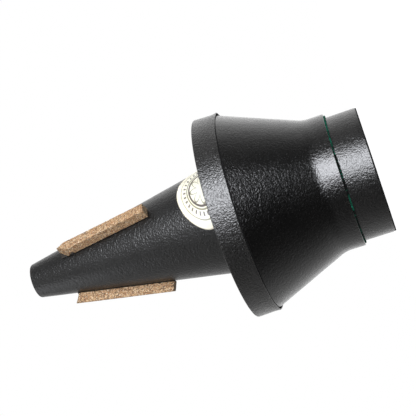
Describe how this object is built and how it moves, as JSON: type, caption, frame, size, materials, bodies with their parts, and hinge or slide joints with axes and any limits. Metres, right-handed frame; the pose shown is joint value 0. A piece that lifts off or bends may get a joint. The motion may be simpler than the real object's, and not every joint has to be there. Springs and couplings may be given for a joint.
{
  "type": "trumpet cup mute",
  "caption": "Conical fibre trumpet mute with cork strips and a closed cylindrical end, and a flared cup held on it by a felt collar that slides, turns and lifts off.",
  "frame": {"origin": "centre of the closed end's face, which the mute stands on", "axes": "+Z along the mute's axis to the open narrow tip; the front, -Y, is the side that the picture shows"},
  "size_m": [0.1076, 0.1076, 0.1899],
  "materials": {
    "cone_lacquer": "satin black lacquer with a fine leathery grain",
    "sleeve_lacquer": "gloss black lacquer with a leathery grain",
    "raw_fibre": "bare",
    "disc_lacquer": "gloss black lacquer with a leathery grain",
    "cork": "granular agglomerated cork, bare",
    "label_paper": "coated paper",
    "cup_lacquer": "gloss black lacquer with a leathery grain",
    "band_lacquer": "gloss black lacquer with a leathery grain",
    "lining_felt": "wool felt",
    "collar_felt": "wool felt"
  },
  "bodies": {
    "mute_body": {"cone_shell": "cone_lacquer", "sleeve_tube": "sleeve_lacquer", "joint_ring": "raw_fibre", "end_disc": "disc_lacquer", "cork_strip_1": "cork", "cork_strip_2": "cork", "cork_strip_3": "cork", "label": "label_paper"},
    "felt_ring": {"collar_felt": "collar_felt"},
    "cup": {"cup_shell": "cup_lacquer", "rim_band": "band_lacquer", "cup_lining": "lining_felt"}
  },
  "joints": [
    {"name": "cup_slide", "type": "slide", "parent": "mute_body", "child": "felt_ring", "axis": [0, 0, 1], "range_m": [-0.0155, 0.18]},
    {"name": "cup_turn", "type": "hinge", "parent": "felt_ring", "child": "cup", "pos_m": [0, 0, 0.022], "axis": [0, 0, 1], "continuous": true}
  ]
}
